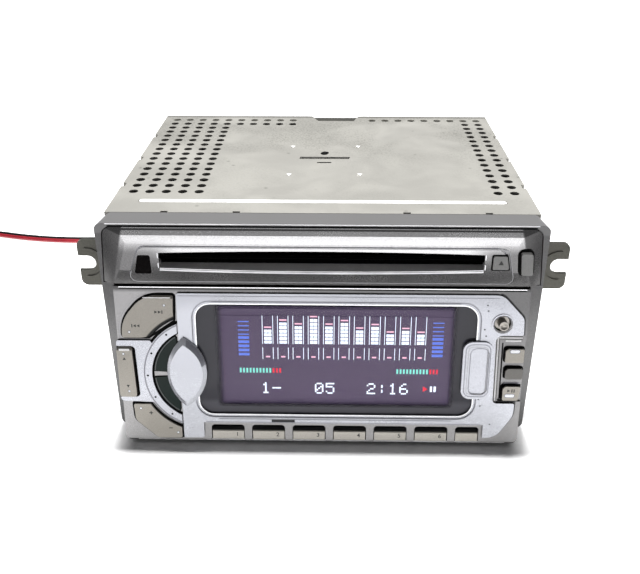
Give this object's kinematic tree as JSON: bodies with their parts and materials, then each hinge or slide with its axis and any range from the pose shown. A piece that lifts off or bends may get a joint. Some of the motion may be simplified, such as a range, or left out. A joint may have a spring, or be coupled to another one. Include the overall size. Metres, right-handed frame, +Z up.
{
  "type": "car stereo head unit",
  "caption": "Double-height car stereo receiver with a disc slot above, a flip-down display panel with keys below, side ears, and a two-wire power lead.",
  "frame": {"origin": "bottom centre of the box round the unit without its power lead, on the surface it stands on", "axes": "+X to the right as seen from the front, +Y to the rear, +Z up; the front faces -Y"},
  "size_m": [0.4213, 0.2263, 0.1],
  "materials": {
    "tray_steel": "zinc-plated sheet",
    "cover_steel": "galvanised sheet, stained",
    "bracket_steel": "olive zinc",
    "screw_steel": "plated",
    "cast_aluminium": "matt",
    "silver_paint": "metallic silver paint",
    "white_silver": "pearl silver paint",
    "key_beige": "satin champagne",
    "key_dark": "dark smoke",
    "black_plastic": "fine grain",
    "sensor_black": "infrared window",
    "display_glass": "clear tinted",
    "display_face": "lit fluorescent display",
    "circuit_green": "solder mask",
    "part_black": "moulded",
    "deck_steel": "plated sheet",
    "rod_steel": "ground",
    "roller_rubber": "matt",
    "damper_rubber": "soft",
    "gear_nylon": "natural nylon",
    "curtain_felt": "felt",
    "red_wire": "vinyl",
    "black_wire": "vinyl",
    "plug_white": "nylon"
  },
  "bodies": {
    "unit": {"chassis_tray": "tray_steel", "top_cover": "cover_steel", "rear_panel": "tray_steel", "heat_sink": "cast_aluminium", "side_brackets": "bracket_steel", "case_screws": "screw_steel", "front_frame": "silver_paint", "disc_fascia": "silver_paint", "sensor_window": "sensor_black", "dust_curtain": "curtain_felt", "sub_panel": "black_plastic", "disc_deck": "deck_steel", "deck_dampers": "damper_rubber", "disc_guide": "black_plastic", "deck_motors": "deck_steel", "guide_rods": "rod_steel", "cartridge_deck": "deck_steel", "main_board": "circuit_green", "board_components": "part_black", "rear_sockets": "part_black", "harness_plug": "plug_white", "red_lead": "red_wire", "black_lead": "black_wire", "lead_coil": "red_wire"},
    "flip_panel": {"panel_shell": "silver_paint", "panel_back": "black_plastic", "fascia_plate": "white_silver", "ring_trim": "white_silver", "display_window": "display_glass", "display_module": "display_face", "panel_board": "circuit_green"},
    "eject_button": {"eject_button": "key_beige"},
    "release_button": {"release_button": "silver_paint"},
    "cartridge_door": {"cartridge_door": "black_plastic"},
    "seek_rocker": {"seek_rocker": "key_beige"},
    "level_rocker": {"level_rocker": "key_beige"},
    "band_rocker": {"band_rocker": "key_beige"},
    "upper_sound_button": {"upper_sound_button": "key_dark"},
    "lower_sound_button": {"lower_sound_button": "key_dark"},
    "source_button": {"source_button": "key_beige"},
    "analyser_button": {"analyser_button": "key_beige"},
    "play_button": {"play_button": "key_beige"},
    "preset_button_1": {"preset_button_1": "key_beige"},
    "preset_button_2": {"preset_button_2": "key_beige"},
    "preset_button_3": {"preset_button_3": "key_beige"},
    "preset_button_4": {"preset_button_4": "key_beige"},
    "preset_button_5": {"preset_button_5": "key_beige"},
    "preset_button_6": {"preset_button_6": "key_beige"},
    "preset_button_7": {"preset_button_7": "key_beige"},
    "stick_gimbal": {"stick_gimbal": "black_plastic"},
    "stick": {"stick": "silver_paint"},
    "loading_roller": {"loading_roller": "roller_rubber"},
    "drive_gear": {"drive_gear": "gear_nylon"},
    "turntable": {"turntable": "black_plastic"},
    "clamp_arm": {"clamp_arm": "deck_steel"},
    "clamp_puck": {"clamp_puck": "black_plastic"},
    "pickup": {"pickup": "part_black"},
    "lead_screw": {"lead_screw": "rod_steel"},
    "cartridge_turntable": {"cartridge_turntable": "deck_steel"},
    "cartridge_pickup": {"cartridge_pickup": "part_black"}
  },
  "joints": [
    {"name": "panel_hinge", "type": "hinge", "parent": "unit", "child": "flip_panel", "pos_m": [0, -0.08138, 0.00598], "axis": [1, 0, 0], "range_deg": [0, 90]},
    {"name": "eject_press", "type": "slide", "parent": "unit", "child": "eject_button", "axis": [0, 1, 0], "range_m": [0, 0.0008], "stiffness_N_per_m": 250},
    {"name": "release_press", "type": "slide", "parent": "unit", "child": "release_button", "axis": [0, 1, 0], "range_m": [0, 0.0008], "stiffness_N_per_m": 250},
    {"name": "cartridge_door_hinge", "type": "hinge", "parent": "unit", "child": "cartridge_door", "pos_m": [0, -0.06419, 0.0614], "axis": [1, 0, 0], "range_deg": [0, 80], "stiffness_Nm_per_rad": 0.004},
    {"name": "seek_rock", "type": "hinge", "parent": "flip_panel", "child": "seek_rocker", "pos_m": [-0.0725, -0.07527, 0.06018], "axis": [-0.6947, 0.1094, 0.711], "range_deg": [-2.5, 2.5], "stiffness_Nm_per_rad": 0.05},
    {"name": "level_rock", "type": "hinge", "parent": "flip_panel", "child": "level_rocker", "pos_m": [-0.0818, -0.0791, 0.03528], "axis": [1, 0, 0], "range_deg": [-2.5, 2.5], "stiffness_Nm_per_rad": 0.05},
    {"name": "band_rock", "type": "hinge", "parent": "flip_panel", "child": "band_rocker", "pos_m": [-0.0705, -0.08268, 0.01205], "axis": [0.6428, 0.1165, 0.7571], "range_deg": [-2.5, 2.5], "stiffness_Nm_per_rad": 0.05},
    {"name": "upper_sound_press", "type": "slide", "parent": "flip_panel", "child": "upper_sound_button", "axis": [0, 0.9884, -0.1521], "range_m": [0, 0.0008], "stiffness_N_per_m": 250},
    {"name": "lower_sound_press", "type": "slide", "parent": "flip_panel", "child": "lower_sound_button", "axis": [0, 0.9884, -0.1521], "range_m": [0, 0.0008], "stiffness_N_per_m": 250},
    {"name": "source_press", "type": "slide", "parent": "flip_panel", "child": "source_button", "axis": [0, 0.9884, -0.1521], "range_m": [0, 0.0008], "stiffness_N_per_m": 250},
    {"name": "analyser_press", "type": "slide", "parent": "flip_panel", "child": "analyser_button", "axis": [0, 0.9884, -0.1521], "range_m": [0, 0.0008], "stiffness_N_per_m": 250},
    {"name": "play_press", "type": "slide", "parent": "flip_panel", "child": "play_button", "axis": [0, 0.9884, -0.1521], "range_m": [0, 0.0008], "stiffness_N_per_m": 250},
    {"name": "preset_1_press", "type": "slide", "parent": "flip_panel", "child": "preset_button_1", "axis": [0, 0.9884, -0.1521], "range_m": [0, 0.0008], "stiffness_N_per_m": 250},
    {"name": "preset_2_press", "type": "slide", "parent": "flip_panel", "child": "preset_button_2", "axis": [0, 0.9884, -0.1521], "range_m": [0, 0.0008], "stiffness_N_per_m": 250},
    {"name": "preset_3_press", "type": "slide", "parent": "flip_panel", "child": "preset_button_3", "axis": [0, 0.9884, -0.1521], "range_m": [0, 0.0008], "stiffness_N_per_m": 250},
    {"name": "preset_4_press", "type": "slide", "parent": "flip_panel", "child": "preset_button_4", "axis": [0, 0.9884, -0.1521], "range_m": [0, 0.0008], "stiffness_N_per_m": 250},
    {"name": "preset_5_press", "type": "slide", "parent": "flip_panel", "child": "preset_button_5", "axis": [0, 0.9884, -0.1521], "range_m": [0, 0.0008], "stiffness_N_per_m": 250},
    {"name": "preset_6_press", "type": "slide", "parent": "flip_panel", "child": "preset_button_6", "axis": [0, 0.9884, -0.1521], "range_m": [0, 0.0008], "stiffness_N_per_m": 250},
    {"name": "preset_7_press", "type": "slide", "parent": "flip_panel", "child": "preset_button_7", "axis": [0, 0.9884, -0.1521], "range_m": [0, 0.0008], "stiffness_N_per_m": 250},
    {"name": "stick_tilt", "type": "hinge", "parent": "flip_panel", "child": "stick_gimbal", "pos_m": [0.0747, -0.0748, 0.05798], "axis": [1, 0, 0], "range_deg": [-9, 9], "stiffness_Nm_per_rad": 0.02},
    {"name": "stick_sway", "type": "hinge", "parent": "stick_gimbal", "child": "stick", "pos_m": [0.0747, -0.0748, 0.05798], "axis": [0, 0.1521, 0.9884], "range_deg": [-9, 9], "stiffness_Nm_per_rad": 0.02},
    {"name": "roller_spin", "type": "hinge", "parent": "unit", "child": "loading_roller", "pos_m": [0, -0.04579, 0.0796], "axis": [1, 0, 0], "continuous": true},
    {"name": "drive_spin", "type": "hinge", "parent": "unit", "child": "drive_gear", "pos_m": [0.063, -0.03679, 0.0796], "axis": [1, 0, 0], "continuous": true},
    {"name": "turntable_spin", "type": "hinge", "parent": "unit", "child": "turntable", "pos_m": [0, 0.01221, 0.0825], "axis": [0, 0, 1], "continuous": true},
    {"name": "clamp_lift", "type": "hinge", "parent": "unit", "child": "clamp_arm", "pos_m": [0, 0.06221, 0.09], "axis": [-1, 0, 0], "range_deg": [0, 5], "stiffness_Nm_per_rad": 0.05},
    {"name": "puck_spin", "type": "hinge", "parent": "clamp_arm", "child": "clamp_puck", "pos_m": [0, 0.01221, 0.0867], "axis": [0, 0, 1], "continuous": true},
    {"name": "pickup_slide", "type": "slide", "parent": "unit", "child": "pickup", "axis": [-1, 0, 0], "range_m": [0, 0.028]},
    {"name": "lead_screw_spin", "type": "hinge", "parent": "unit", "child": "lead_screw", "pos_m": [-0.04, -0.00829, 0.0768], "axis": [1, 0, 0], "range_deg": [0, 2885]},
    {"name": "cartridge_spin", "type": "hinge", "parent": "unit", "child": "cartridge_turntable", "pos_m": [0, -0.01579, 0.048], "axis": [0, 0, 1], "continuous": true},
    {"name": "cartridge_pickup_slide", "type": "slide", "parent": "unit", "child": "cartridge_pickup", "axis": [-1, 0, 0], "range_m": [0, 0.012]}
  ],
  "couplings": [
    {"joint": "drive_spin", "follows": "roller_spin", "ratio": -2},
    {"joint": "lead_screw_spin", "follows": "pickup_slide", "rad_per_m": 1795.2}
  ]
}
